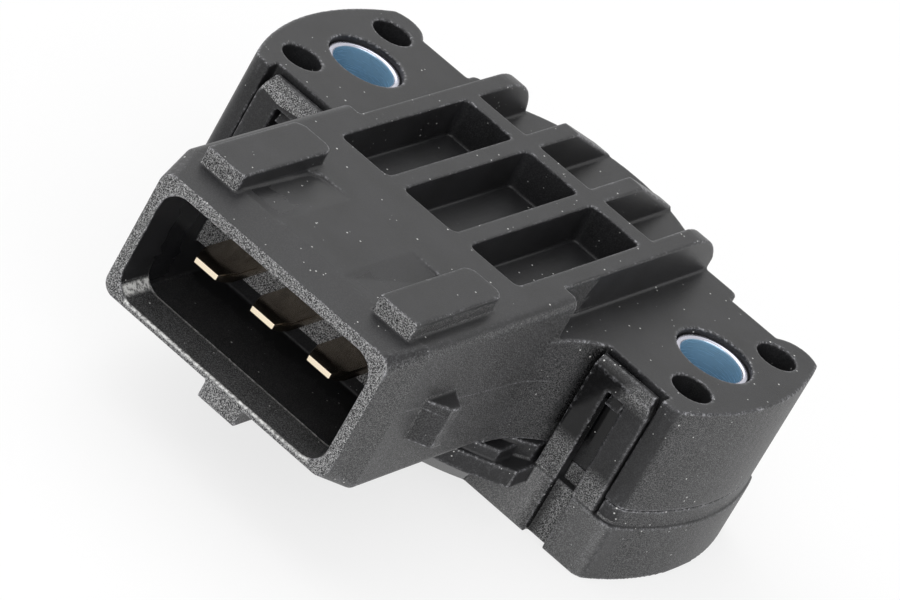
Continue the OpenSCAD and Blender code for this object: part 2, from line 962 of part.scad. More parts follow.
// Plan of the wiper's plate, and of the deck of the rotor below it
module wiper_plan(out) {
    rotate(wiper_deg)
        arc_band((wiper_in_r + wiper_out_r) / 2, wiper_out_r - wiper_in_r + out,
                 wiper_from - out * deck_out_deg, wiper_to + out * deck_out_deg);
}

module rotor() {
    color(rotor_plastic)
    difference() {
        union() {
            translate([0, 0, rotor_low_z])
                cylinder(r = journal_r, h = rotor_flange_z - rotor_low_z + eps, $fn = hole_fn);
            translate([0, 0, rotor_flange_z])
                cylinder(r = rotor_r, h = rotor_flange_t);
            translate([0, 0, rotor_top_z - eps])
                cylinder(r = rotor_hub_r, h = rotor_hub_top - rotor_top_z + eps, $fn = hole_fn);
            translate([0, 0, rotor_top_z - eps])
                linear_extrude(deck_z - rotor_top_z + eps)
                    wiper_plan(deck_out);
            post_places()
                translate([0, 0, deck_z - eps])
                    cylinder(r = post_r, h = post_h + eps, $fn = small_fn);
        }
        translate([0, 0, rotor_low_z - past])
            linear_extrude(drive_depth + past)
                drive_outline();
        translate([0, 0, pivot_low_z])
            cylinder(r = pivot_bore_r, h = rotor_hub_top, $fn = hole_fn);
    }
}

// One finger: level on the plate, up a slope, and over to its tip under a track of radius r
module finger(r, shift) {
    low = deck_z;
    high = film_z - wiper_t;
    line_x = sqrt(pow(r, 2) - pow(finger_run, 2)) + shift;
    translate([line_x - finger_w / 2, 0, 0])
        rotate([90, 0, 90])
            linear_extrude(finger_w)
                polygon([[-finger_back, low], [-finger_back / 2, low], [finger_run, high],
                         [finger_run + finger_tip, high - finger_bend],
                         [finger_run + finger_tip, high - finger_bend + wiper_t],
                         [finger_run, high + wiper_t], [-finger_back / 2, low + wiper_t],
                         [-finger_back, low + wiper_t]]);
}

module wiper() {
    color(bronze)
    difference() {
        union() {
            translate([0, 0, deck_z])
                linear_extrude(wiper_t)
                    wiper_plan(0);
            rotate(wiper_deg)
                for (r = [collector_r, resistor_r], side = [-0.5, 0.5])
                    finger(r, side * finger_pitch);
        }
        post_places()
            translate([0, 0, deck_z - past])
                cylinder(r = post_r, h = 2 * past, $fn = small_fn);
    }
}

module drive_clip() {
    low = rotor_low_z + clip_end_gap;
    high = rotor_low_z + drive_depth - clip_end_gap;
    color(steel)
        rotate([90, 0, 0])
            linear_extrude(clip_w, center = true)
                polygon([[drive_flat - clip_t, low], [drive_flat, low], [drive_flat, high],
                         [drive_flat - clip_t, high], [drive_flat - clip_t - clip_bow, (low + high) / 2]]);
}

upper_housing();
lower_housing();
housing_seal();
left_sleeve();
right_sleeve();
terminal_left();
terminal_center();
terminal_right();
contact_left();
contact_center();
contact_right();
track_board();
resistor_track();
collector_track();
conductor_traces();
shaft_seal();
thrust_washer();
rotor();
wiper();
drive_clip();
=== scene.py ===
"""Looks of a throttle position sensor: moulded black housing with rounded edges, steel sleeves,
bronze blades, and the parts of the potentiometer inside. Lengths are in metres, and in
millimetres where a name or comment says so."""
import math

import bmesh
import bpy
import numpy as np
from mathutils import Matrix, Vector


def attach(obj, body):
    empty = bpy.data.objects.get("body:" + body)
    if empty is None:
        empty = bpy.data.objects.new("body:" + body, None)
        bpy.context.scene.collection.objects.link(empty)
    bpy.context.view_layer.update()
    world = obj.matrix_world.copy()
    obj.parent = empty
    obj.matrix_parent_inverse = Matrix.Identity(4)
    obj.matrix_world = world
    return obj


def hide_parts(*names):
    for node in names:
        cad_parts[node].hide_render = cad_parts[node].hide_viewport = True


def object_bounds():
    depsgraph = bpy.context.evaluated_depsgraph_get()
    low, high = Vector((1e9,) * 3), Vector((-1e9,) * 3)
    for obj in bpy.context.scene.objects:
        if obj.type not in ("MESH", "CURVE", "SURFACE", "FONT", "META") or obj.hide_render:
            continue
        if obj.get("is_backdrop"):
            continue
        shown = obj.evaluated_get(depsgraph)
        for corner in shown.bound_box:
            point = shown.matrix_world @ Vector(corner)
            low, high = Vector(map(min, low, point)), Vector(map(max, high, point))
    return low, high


MM = 0.001

# Camera: the photograph's angle, in degrees, its distance and the point in the picture's middle
CAMERA_TURN = 22.03
CAMERA_HEIGHT = 27.36
CAMERA_ROLL = 30.1
CAMERA_DISTANCE = 432.9 * MM
CAMERA_AIM = Vector((0.0, -5.27, 7.14)) * MM
SENSOR_WIDTH = 36.0
CAMERA_LENS = 262.13

# Soft boxes (place and side in metres, watts), the world's level, and the white table
KEY_LAMP = ((-0.55, 0.1, 0.8), 1.4, 8.0)
FILL_LAMP = ((0.5, -0.7, 0.3), 1.2, 6.8)
WORLD_LIGHT = 0.55
TABLE_RADIUS = 4.0
TABLE_SIDES = 96
TABLE_GLOW = 0.75
TABLE_GAP = 0.01 * MM

# Edge rounding of the moulded housings, by voxels and smoothing, and of the blades
VOXEL = 0.09 * MM
SMOOTH_ROUNDS = 5
SKIN_TRIANGLES = 195000
EDGE_RADIUS = 0.2 * MM
BLADE_EDGE = 0.07 * MM
SHARP_ANGLE = math.radians(28)
MERGE_DISTANCE = 0.002 * MM

# Sleeves: middle of the screw holes, reach of the bore's plating, steps round the circle, and
# the section as radii and heights in mm, with its end 0.41 mm below the flange
SLEEVE_X = 16 * MM
BORE_REACH = 2.28 * MM
SLEEVE_STEPS = 96
SLEEVE_SECTION_MM = [
    (2.25, 0.1), (2.25, 6.0), (2.25, 13.2), (2.25, 13.38), (2.262, 13.44), (2.3, 13.5),
    (2.35, 13.55), (2.4, 13.58), (2.45, 13.59), (2.6, 13.59), (2.66, 13.575), (2.71, 13.54),
    (2.74, 13.49), (2.75, 13.42), (2.75, 13.2), (2.75, 6.0), (2.75, 0.1), (2.7, 0.0), (2.3, 0.0)]

# Moulded skin. Real fibre ends are about 0.01 mm across, too fine to show, so the grain is
# drawn at 0.085 mm. Its noise is turned, because it fades on faces that lie along its lattice
GRAIN_MM = 0.085
GRAIN_TURN = (0.5, 0.7, 0.4)
GRAIN_BUMP_MM = 0.012
CLOUD_MM = 3.0
DUST_MM = 0.24
DUST_SHARE = 0.03
DUST_ON_EDGES = 0.2
POLISHED_ROUGHNESS = 0.12
ERODED_ROUGHNESS = 0.75
LEAST_GRAIN = 0.03
# How much darker the colour is painted in the polished boxes, a painted shade
PAINTED_SHADE_DARKENING = 0.7
EVENED_SHARE = 0.6
EVENED_FIBRES = 0.4
SOFT_MM = 1.0
# Soft width of the painted glints' boxes
PAINTED_GLINT_SOFT_MM = 0.15

# Parting line on the connector's right side: its height at the shaft, its rise along Y, and
# the box in mm that holds it
SEAM_Z = 9.65 * MM
SEAM_RISE = -0.085
SEAM_BOX = ((10.3, -29, 9), (11.5, -11, 13))

# Places on flats, in mm: polished and painted darker in the recess of the right arm and in the
# slit below it, a painted shade; with less pale grain on that arm's outer leg, also a painted
# shade; and of an evener grain on the foot
POLISHED_AND_SHADED_BOXES = [((12, -12, 7.4), (15.5, -7, 13.6)), ((14.1, -12, -1), (14.9, -8.3, 4.3))]
# Less pale grain on the right arm's outer leg, to paint it darker as shade
CALMED_BOXES = [((15.5, -12, 6.6), (17.9, -8, 12.3))]
EVENED_BOXES = [((-22, -13, -1), (13.9, -8, 4.4)), ((16.4, -13, -1), (23, -8, 4.4))]
# Painted glints in the socket: boxes in mm with their amounts, pale streaks where light catches a
# corner, the mouth and the step
PAINTED_GLINT_BOXES = [((-9.2, -32.6, 7.35), (-8.0, -29.7, 7.8), 1.2),
                 ((-8.0, -32.9, 7.05), (8.2, -32.65, 7.4), 1.1),
                 ((-8.4, -29.85, 6.6), (8.6, -29.5, 7.35), 0.5)]

# Finish of the mould by facing and box, in mm: an eroded skin with pale grain above 0, polished
# below. The pale grain is partly painted light: it is set strongest on faces that light falls on,
# the fronts and sides
FRONT, LEFT, RIGHT, UP, ALL_SIDES = (0, -1, 0), (-1, 0, 0), (1, 0, 0), (0, 0, 1), None
EAR_ENDS = [(LEFT, (-23, -12, -1), (-17.5, 12, 15), 0.2),
            (RIGHT, (17.5, -12, -1), (23, 12, 15), 0.2)]
UPPER_FINISH_AND_LIGHT = EAR_ENDS + [
    (FRONT, (-12, -33.6, -1), (12, -30, 19), 0.65),               # rim, rails and key
    (FRONT, (-9.8, -26.6, 3), (9.8, -24, 17), 0.7),               # block round the blades
    (LEFT, (-13, -33, 3), (-8, -8, 18), 0.22),                    # sides of the connector
    (RIGHT, (8, -33, 3), (13, -8, 18), 0.22),
    (ALL_SIDES, (-10.6, -33, 4), (10.6, -29.5, 8), 0.22),         # lip of the socket
    (UP, (-10.1, -29.5, 4), (10.1, -24, 7), 0.1),                 # floor behind the step
    (ALL_SIDES, (-10.1, -29.5, 7), (10.1, -26.9, 17.1), -0.6)]    # walls of the socket
LOWER_FINISH_AND_LIGHT = EAR_ENDS + [
    (FRONT, (-22, -12, -1), (14.2, -8, 4.6), 0.6),                # foot under the connector
    (FRONT, (14.2, -12, -1), (16.1, -8, 4.6), 0.65),              # floor of the slit
    (FRONT, (16.1, -12, -1), (22, -8, 4.6), 0.38),                # foot under the ear
    (FRONT, (12.2, -12, 4.4), (17.9, -8, 14.2), 0.45),            # right arm
    # The left arm's bevel gets strong pale grain, a painted highlight
    (FRONT, (-18, -12, 12.4), (-12, -8, 14.2), 0.9)]              # bevel of the left arm


def srgb(text):
    """An sRGB hex colour as linear values with alpha."""
    parts = [int(text[i:i + 2], 16) / 255 for i in (1, 3, 5)]
    linear = [c / 12.92 if c <= 0.04045 else ((c + 0.055) / 1.055) ** 2.4 for c in parts]
    return (*linear, 1.0)


def add(material, kind, settings=None, links=None):
    """Adds one node with its settings (attributes or input values) and its incoming links."""
    node = material.node_tree.nodes.new(kind)
    for key, value in (settings or {}).items():
        if isinstance(key, str) and hasattr(node, key):
            setattr(node, key, value)
        else:
            node.inputs[key].default_value = value
    for key, output in (links or {}).items():
        material.node_tree.links.new(output, node.inputs[key])
    return node


def new_material(name):
    """An empty material and its output node."""
    material = bpy.data.materials.new(name)
    material.use_nodes = True
    material.node_tree.nodes.clear()
    return material, add(material, "ShaderNodeOutputMaterial")


def finish_material(material, output, shader):
    """Links the shader to the material's output."""
    material.node_tree.links.new(shader.outputs[0], output.inputs["Surface"])
    return material


def box_mask(material, place, low, high, soft=SOFT_MM):
    """1 inside a box with corners in mm and 0 outside, fading over the soft width at its sides,
    from the largest distance |p - middle| - half along an axis."""
    middle = [(a + b) / 2 * MM for a, b in zip(low, high)]
    half = [(b - a) / 2 * MM for a, b in zip(low, high)]
    shifted = add(material, "ShaderNodeVectorMath", {"operation": "SUBTRACT", 1: middle},
                  {0: place})
    size = add(material, "ShaderNodeVectorMath", {"operation": "ABSOLUTE"},
               {0: shifted.outputs[0]})
    out = add(material, "ShaderNodeVectorMath", {"operation": "SUBTRACT", 1: half},
              {0: size.outputs[0]})
    axes = add(material, "ShaderNodeSeparateXYZ", {}, {0: out.outputs[0]})
    wide = add(material, "ShaderNodeMath", {"operation": "MAXIMUM"},
               {0: axes.outputs[0], 1: axes.outputs[1]})
    far = add(material, "ShaderNodeMath", {"operation": "MAXIMUM"},
              {0: wide.outputs[0], 1: axes.outputs[2]})
    return add(material, "ShaderNodeMapRange",
               {"From Min": soft / 2 * MM, "From Max": -soft / 2 * MM},
               {"Value": far.outputs[0]}).outputs[0]


def boxes_mask(material, place, boxes):
    """1 inside any of the boxes, the largest of their masks."""
    mask = box_mask(material, place, *boxes[0])
    for low, high in boxes[1:]:
        mask = add(material, "ShaderNodeMath", {"operation": "MAXIMUM"},
                   {0: mask, 1: box_mask(material, place, low, high)}).outputs[0]
    return mask


def dust_specks(material, place, wear_and_highlight):
    """Specks of dust in a share of the cells of a Voronoi pattern, more of them along edges:
    1.6 (r - d) / r at the distance d from a cell's middle, with its own radius r."""
    cells = add(material, "ShaderNodeTexVoronoi",
                {"Scale": 1 / (DUST_MM * MM), "feature": "F1"}, {"Vector": place})
    pick = add(material, "ShaderNodeSeparateColor", {}, {"Color": cells.outputs["Color"]})
    limit = add(material, "ShaderNodeMath",
                {"operation": "MULTIPLY_ADD", 1: -DUST_ON_EDGES, 2: 1 - DUST_SHARE}, {0: wear_and_highlight})
    chosen = add(material, "ShaderNodeMath", {"operation": "GREATER_THAN"},
                 {0: pick.outputs["Red"], 1: limit.outputs[0]})
    reach = add(material, "ShaderNodeMapRange", {"To Min": 0.1, "To Max": 0.36},
                {"Value": pick.outputs["Green"]})
    near = add(material, "ShaderNodeMapRange",
               {"From Max": 0.0, "To Min": 0.0, "To Max": 1.6},
               {"Value": cells.outputs["Distance"], "From Min": reach.outputs[0]})
    return add(material, "ShaderNodeMath", {"operation": "MULTIPLY"},
               {0: chosen.outputs[0], 1: near.outputs[0]}).outputs[0]


def parting_line(material, place):
    """The mould's parting line on the connector's side: up to 0.6 where z is near
    SEAM_Z + SEAM_RISE y, inside its box."""
    height = add(material, "ShaderNodeVectorMath",
                 {"operation": "DOT_PRODUCT", 1: (0, -SEAM_RISE, 1)}, {0: place})
    above = add(material, "ShaderNodeMath", {"operation": "SUBTRACT", 1: SEAM_Z},
                {0: height.outputs["Value"]})
    away = add(material, "ShaderNodeMath", {"operation": "ABSOLUTE"}, {0: above.outputs[0]})
    line = add(material, "ShaderNodeMapRange",
               {"From Min": 0.08 * MM, "From Max": 0.02 * MM, "To Max": 0.6},
               {"Value": away.outputs[0]})
    return add(material, "ShaderNodeMath", {"operation": "MULTIPLY"},
               {0: line.outputs[0], 1: box_mask(material, place, *SEAM_BOX)}).outputs[0]


def add_painted_glints(material, place, knocks, light):
    """The larger of a light level and painted glints, pale streaks in the glint boxes."""
    glint_streaks = add(material, "ShaderNodeMapRange",
                    {"From Min": 0.42, "From Max": 0.58, "To Min": 0.15, "To Max": 1.0},
                    {"Value": knocks})
    for low, high, amount in PAINTED_GLINT_BOXES:
        inside = add(material, "ShaderNodeMath", {"operation": "MULTIPLY", 1: amount},
                     {0: box_mask(material, place, low, high, PAINTED_GLINT_SOFT_MM)})
        painted_glint = add(material, "ShaderNodeMath", {"operation": "MULTIPLY"},
                    {0: glint_streaks.outputs[0], 1: inside.outputs[0]})
        light = add(material, "ShaderNodeMath", {"operation": "MAXIMUM"},
                    {0: light, 1: painted_glint.outputs[0]}).outputs[0]
    return light


def glass_filled_polyamide(name, body, fibre, edge, speck_and_glint, roughness):
    """Black polyamide with short glass fibre, injection moulded. Where the mould was polished
    (attribute "polish") the skin is almost black and mirrors what is near; where it was spark
    eroded, by a face attribute, fibre ends give a dense pale grain, which on lit faces toward the
    front and sides also paints the light falling there. Boxes name the places on large flats that
    are polished and painted darker as shade, have less pale grain as painted shade, or have an
    evener grain. Edges (attribute "edge") are rubbed paler in broken lines, partly a painted
    edge highlight; dust lies on it, and glints are painted in the socket."""
    material, output = new_material(name)
    place = add(material, "ShaderNodeTexCoord").outputs["Object"]
    askew = add(material, "ShaderNodeMapping", {"Rotation": GRAIN_TURN},
                {"Vector": place}).outputs[0]
    grain = add(material, "ShaderNodeTexNoise",
                {"Scale": 1 / (GRAIN_MM * MM), "Detail": 3.0, "Roughness": 0.6},
                {"Vector": askew}).outputs["Fac"]
    cloud = add(material, "ShaderNodeTexNoise",
                {"Scale": 1 / (CLOUD_MM * MM), "Detail": 3.0}, {"Vector": askew})
    knocks = add(material, "ShaderNodeTexNoise",
                 {"Scale": 1 / (3 * GRAIN_MM * MM), "Detail": 4.0, "Roughness": 0.7},
                 {"Vector": askew}).outputs["Fac"]
    wear_and_highlight = add(material, "ShaderNodeAttribute", {"attribute_name": "edge"}).outputs["Fac"]
    matt = add(material, "ShaderNodeAttribute", {"attribute_name": "matt"}).outputs["Fac"]
    by_region = add(material, "ShaderNodeAttribute", {"attribute_name": "polish"}).outputs["Fac"]
    # The polished boxes are smoother, and their colour is painted darker, a painted shade
    polish_and_shade_mask = boxes_mask(material, place, POLISHED_AND_SHADED_BOXES)
    polish = add(material, "ShaderNodeMath", {"operation": "MAXIMUM"},
                 {0: by_region, 1: polish_and_shade_mask}).outputs[0]

    # Body colour in soft clouds, painted darker in the polished boxes as shade
    tone = add(material, "ShaderNodeMapRange",
               {"From Min": 0.3, "From Max": 0.7, "To Min": 0.6, "To Max": 1.4},
               {"Value": cloud.outputs["Fac"]})
    darker = add(material, "ShaderNodeMath",
                 {"operation": "MULTIPLY_ADD", 1: -PAINTED_SHADE_DARKENING, 2: 1.0}, {0: polish_and_shade_mask})
    depth = add(material, "ShaderNodeMath", {"operation": "MULTIPLY"},
                {0: tone.outputs[0], 1: darker.outputs[0]})
    base = add(material, "ShaderNodeVectorMath",
               {"operation": "SCALE", 0: srgb(body)[:3]}, {"Scale": depth.outputs[0]})

    # Pale fibre ends, where the skin is eroded and a trace of them elsewhere; where faces are lit
    # they also paint that light
    ends = add(material, "ShaderNodeMapRange",
               {"From Min": 0.43, "From Max": 0.66, "To Min": 0.0, "To Max": 1.0},
               {"Value": grain})
    even = add(material, "ShaderNodeMath", {"operation": "MULTIPLY", 1: EVENED_SHARE},
               {0: boxes_mask(material, place, EVENED_BOXES)})
    fibres = add(material, "ShaderNodeMix", {"data_type": "FLOAT", 3: EVENED_FIBRES},
                 {0: even.outputs[0], 2: ends.outputs[0]})
    calm_place = add(material, "ShaderNodeMath", {"operation": "MAXIMUM"},
                     {0: polish, 1: boxes_mask(material, place, CALMED_BOXES)})
    kept = add(material, "ShaderNodeMath", {"operation": "SUBTRACT", 0: 1.0},
               {1: calm_place.outputs[0]})
    eroded = add(material, "ShaderNodeMath", {"operation": "MULTIPLY"},
                 {0: matt, 1: kept.outputs[0]}).outputs[0]
    least = add(material, "ShaderNodeMapRange", {"To Min": LEAST_GRAIN, "To Max": 0.0},
                {"Value": polish})
    grainy = add(material, "ShaderNodeMath", {"operation": "MAXIMUM"},
                 {0: eroded, 1: least.outputs[0]})
    share = add(material, "ShaderNodeMath", {"operation": "MULTIPLY"},
                {0: grainy.outputs[0], 1: fibres.outputs[0]})
    moulded = add(material, "ShaderNodeMix", {"data_type": "RGBA"},
                  {0: share.outputs[0], 6: base.outputs[0]})
    moulded.inputs[7].default_value = srgb(fibre)

    # Rubbed edges, partly a painted edge highlight, and the parting line in broken lines, then
    # dust and painted glints
    broken = add(material, "ShaderNodeMapRange",
                 {"From Min": 0.5, "From Max": 0.62, "To Min": 0.1, "To Max": 1.0},
                 {"Value": knocks})
    marked = add(material, "ShaderNodeMath", {"operation": "MAXIMUM"},
                 {0: wear_and_highlight, 1: parting_line(material, place)})
    worn = add(material, "ShaderNodeMath", {"operation": "MULTIPLY"},
               {0: marked.outputs[0], 1: broken.outputs[0]})
    # Paler colour on convex edges, partly rubbing and partly a painted edge highlight
    rubbed = add(material, "ShaderNodeMix", {"data_type": "RGBA"},
                 {0: worn.outputs[0], 6: moulded.outputs[2]})
    rubbed.inputs[7].default_value = srgb(edge)
    # Dust specks, and the painted glints in the socket
    light = add_painted_glints(material, place, knocks, dust_specks(material, place, wear_and_highlight))
    colour = add(material, "ShaderNodeMix", {"data_type": "RGBA"},
                 {0: light, 6: rubbed.outputs[2]})
    colour.inputs[7].default_value = srgb(speck_and_glint)

    # Gloss and relief of the grain
    sheen = add(material, "ShaderNodeMapRange",
                {"From Min": 0.3, "From Max": 0.7, "To Min": roughness - 0.06,
                 "To Max": roughness + 0.06}, {"Value": grain})
    bright = add(material, "ShaderNodeMix", {"data_type": "FLOAT", 3: POLISHED_ROUGHNESS},
                 {0: polish, 2: sheen.outputs[0]})
    dull = add(material, "ShaderNodeMix", {"data_type": "FLOAT", 3: ERODED_ROUGHNESS},
               {0: eroded, 2: bright.outputs[0]})
    calm = add(material, "ShaderNodeMapRange", {"To Min": 1.0, "To Max": 0.05},
               {"Value": polish})
    bump = add(material, "ShaderNodeBump", {"Distance": GRAIN_BUMP_MM * MM},
               {"Height": grain, "Strength": calm.outputs[0]})
    shader = add(material, "ShaderNodeBsdfPrincipled", {"IOR": 1.4},
                 {"Base Color": colour.outputs[2], "Roughness": dull.outputs[0],
                  "Normal": bump.outputs[0]})
    return finish_material(material, output, shader)


def turned_steel(name, body, end, roughness):
    """Steel sleeve, turned and zinc plated: clear blue passivation in the bore (attribute "bore"),
    rubbed to bright metal on the end, with fine turning rings."""
    material, output = new_material(name)
    place = add(material, "ShaderNodeTexCoord").outputs["Object"]
    rings = add(material, "ShaderNodeMapping", {"Scale": (0.05, 0.05, 1.0)}, {"Vector": place})
    marks = add(material, "ShaderNodeTexNoise", {"Scale": 1 / (0.06 * MM), "Detail": 2.0},
                {"Vector": rings.outputs[0]})
    bore = add(material, "ShaderNodeAttribute", {"attribute_name": "bore"})
    colour = add(material, "ShaderNodeMix", {"data_type": "RGBA"}, {0: bore.outputs["Fac"]})
    colour.inputs[6].default_value = srgb(end)
    colour.inputs[7].default_value = srgb(body)
    metal = add(material, "ShaderNodeMapRange", {"To Min": 1.0, "To Max": 0.35},
                {"Value": bore.outputs["Fac"]})
    rough = add(material, "ShaderNodeMapRange",
                {"To Min": roughness - 0.06, "To Max": roughness + 0.08},
                {"Value": marks.outputs["Fac"]})
    bump = add(material, "ShaderNodeBump", {"Strength": 0.3, "Distance": 0.004 * MM},
               {"Height": marks.outputs["Fac"]})
    shader = add(material, "ShaderNodeBsdfPrincipled", {},
                 {"Base Color": colour.outputs[2], "Roughness": rough.outputs[0],
                  "Metallic": metal.outputs[0], "Normal": bump.outputs[0]})
    return finish_material(material, output, shader)


def rolled_bronze(name, body, tip, roughness):
    """Bronze strip, rolled and stamped: faint lengthwise rolling lines, a tarnish that greys the
    flat sides, and the faces toward the front painted pale by a face attribute, a painted
    highlight."""
    material, output = new_material(name)
    place = add(material, "ShaderNodeTexCoord").outputs["Object"]
    along = add(material, "ShaderNodeMapping", {"Scale": (1.0, 0.06, 1.0)}, {"Vector": place})
    lines = add(material, "ShaderNodeTexNoise", {"Scale": 1 / (0.08 * MM), "Detail": 2.0},
                {"Vector": along.outputs[0]})
    cloud = add(material, "ShaderNodeTexNoise", {"Scale": 1 / (1.2 * MM)}, {"Vector": place})
    tone = add(material, "ShaderNodeMapRange", {"To Min": 0.7, "To Max": 1.3},
               {"Value": cloud.outputs["Fac"]})
    tarnish = add(material, "ShaderNodeVectorMath",
                  {"operation": "SCALE", 0: srgb(body)[:3]}, {"Scale": tone.outputs[0]})
    # Faces toward the front take the pale colour, a painted highlight
    end = add(material, "ShaderNodeAttribute", {"attribute_name": "tip"})
    colour = add(material, "ShaderNodeMix", {"data_type": "RGBA"},
                 {0: end.outputs["Fac"], 6: tarnish.outputs[0]})
    colour.inputs[7].default_value = srgb(tip)
    rough = add(material, "ShaderNodeMapRange",
                {"To Min": roughness - 0.04, "To Max": roughness + 0.04},
                {"Value": lines.outputs["Fac"]})
    bump = add(material, "ShaderNodeBump", {"Strength": 0.08, "Distance": 0.005 * MM},
               {"Height": lines.outputs["Fac"]})
    shader = add(material, "ShaderNodeBsdfPrincipled", {"Metallic": 1.0},
                 {"Base Color": colour.outputs[2], "Roughness": rough.outputs[0],
                  "Normal": bump.outputs[0]})
    return finish_material(material, output, shader)


def plain_moulding(name, body, roughness, grain_mm, metallic=0.0):
    """A plain finish with a fine grain, for the rubber, ceramic, inks and hidden mouldings."""
    material, output = new_material(name)
    place = add(material, "ShaderNodeTexCoord").outputs["Object"]
    grain = add(material, "ShaderNodeTexNoise", {"Scale": 1 / (grain_mm * MM), "Detail": 3.0},
                {"Vector": place})
    tone = add(material, "ShaderNodeMapRange", {"To Min": 0.8, "To Max": 1.2},
               {"Value": grain.outputs["Fac"]})
    colour = add(material, "ShaderNodeVectorMath", {"operation": "SCALE", 0: srgb(body)[:3]},
                 {"Scale": tone.outputs[0]})
    bump = add(material, "ShaderNodeBump", {"Strength": 0.4, "Distance": 0.006 * MM},
               {"Height": grain.outputs["Fac"]})
    shader = add(material, "ShaderNodeBsdfPrincipled",
                 {"Metallic": metallic, "Roughness": roughness},
                 {"Base Color": colour.outputs[0], "Normal": bump.outputs[0]})
    return finish_material(material, output, shader)


def merged_copy(node, name):
    """A copy of a CAD node's mesh whose loose triangles are joined."""
    work = bmesh.new()
    work.from_mesh(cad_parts[node].data)
    bmesh.ops.remove_doubles(work, verts=work.verts, dist=MERGE_DISTANCE)
    mesh = bpy.data.meshes.new(name)
    work.to_mesh(mesh)
    work.free()
    piece = bpy.data.objects.new(name, mesh)
    bpy.context.scene.collection.objects.link(piece)
    return piece


def bake_modifiers(piece):
    """Puts the result of a piece's modifiers into its mesh and removes them."""
    seen = piece.evaluated_get(bpy.context.evaluated_depsgraph_get())
    mesh = bpy.data.meshes.new_from_object(seen)
    piece.modifiers.clear()
    piece.data = mesh
    return mesh


def edge_wear_and_highlight(mesh):
    """Point attribute "edge": how convex the surface is, from 0 on flat and hollow places to 1.
    It makes convex edges paler, partly rubbed and partly a painted edge highlight.
    Along each mesh edge the bend is the change of normal over the length, dn.dp / |dp|^2,
    and a point takes the mean bend of its edges."""
    count = len(mesh.vertices)
    place = np.empty(count * 3, np.float32)
    mesh.vertices.foreach_get("co", place)
    place = place.reshape(-1, 3)
    normal = np.empty(count * 3, np.float32)
    mesh.vertex_normals.foreach_get("vector", normal)
    normal = normal.reshape(-1, 3)
    ends = np.empty(len(mesh.edges) * 2, np.int32)
    mesh.edges.foreach_get("vertices", ends)
    first, second = ends.reshape(-1, 2).T
    step = place[second] - place[first]
    turn = normal[second] - normal[first]
    bend = (turn * step).sum(1) / np.maximum((step * step).sum(1), 1e-12)
    total = np.bincount(first, bend, count) + np.bincount(second, bend, count)
    share = np.bincount(first, minlength=count) + np.bincount(second, minlength=count)
    convex = np.clip(total / np.maximum(share, 1) * EDGE_RADIUS, 0, 1)
    layer = mesh.attributes.new("edge", "FLOAT", "POINT")
    layer.data.foreach_set("value", convex.astype(np.float32))


def mould_finish_and_light(mesh, regions):
    """Face attributes for the eroded and the polished amount, from regions: a facing (a unit
    vector, or None for every side), the lowest and highest corner of a box in mm, and an amount,
    above 0 for an eroded skin with pale grain, which partly paints light on lit faces, and below 0
    for polished. The amount holds on faces with their centre p in the box and their
    normal n along the facing f, and falls to 0 as n turns away, (n.f - 0.55) / 0.3 held between
    0 and 1. The strongest region counts."""
    count = len(mesh.polygons)
    centre = np.empty(count * 3, np.float32)
    mesh.polygons.foreach_get("center", centre)
    centre = centre.reshape(-1, 3) / MM
    normal = np.empty(count * 3, np.float32)
    mesh.polygons.foreach_get("normal", normal)
    normal = normal.reshape(-1, 3)
    level = np.zeros(count)
    for facing, low, high, amount in regions:
        share = ((centre >= low) & (centre <= high)).all(1) * amount
        if facing is not None:
            share = share * np.clip((normal @ np.array(facing) - 0.55) / 0.3, 0, 1)
        level = np.where(np.abs(share) > np.abs(level), share, level)
    for name, sign in (("matt", 1), ("polish", -1)):
        layer = mesh.attributes.new(name, "FLOAT", "FACE")
        layer.data.foreach_set("value", np.clip(sign * level, 0, 2).astype(np.float32))


def moulded_skin(node, material, regions, body):
    """A copy of a CAD node whose sharp edges and corners are worn round, as on a moulding: it is
    filled with fine voxels, smoothed, and thinned out where it is flat. It stands for the node."""
    piece = merged_copy(node, node + "_skin")
    voxels = piece.modifiers.new("voxels", "REMESH")
    voxels.mode = "VOXEL"
    voxels.voxel_size = VOXEL
    smooth = piece.modifiers.new("smooth", "SMOOTH")
    smooth.factor = 0.5
    smooth.iterations = SMOOTH_ROUNDS
    mesh = bake_modifiers(piece)
    thin = piece.modifiers.new("thin", "DECIMATE")
    thin.ratio = min(1.0, SKIN_TRIANGLES / (2 * len(mesh.polygons)))
    mesh = bake_modifiers(piece)
    mesh.polygons.foreach_set("use_smooth", np.ones(len(mesh.polygons), bool))
    mesh.materials.clear()
    mesh.materials.append(material)
    edge_wear_and_highlight(mesh)
    mould_finish_and_light(mesh, regions)
    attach(piece, body)
    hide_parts(node)


def rounded_copy(node, radius, material, body):
    """A merged copy of a CAD node with its sharp edges rounded; it stands for the node. A face
    attribute is 1 where the normal's y is below -0.4, at the front end, where the bronze gets a
    painted highlight."""
    piece = merged_copy(node, node + "_skin")
    mesh = piece.data
    mesh.materials.clear()
    mesh.materials.append(material)
    mesh.polygons.foreach_set("material_index", np.zeros(len(mesh.polygons), np.int32))
    mesh.polygons.foreach_set("use_smooth", np.ones(len(mesh.polygons), bool))
    normal = np.empty(len(mesh.polygons) * 3, np.float32)
    mesh.polygons.foreach_get("normal", normal)
    layer = mesh.attributes.new("tip", "FLOAT", "FACE")
    layer.data.foreach_set("value", (normal.reshape(-1, 3)[:, 1] < -0.4).astype(np.float32))
    bevel = piece.modifiers.new("edges", "BEVEL")
    bevel.width = radius
    bevel.segments = 2
    bevel.limit_method = "ANGLE"
    bevel.angle_limit = SHARP_ANGLE
    bevel.harden_normals = True
    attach(piece, body)
    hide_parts(node)


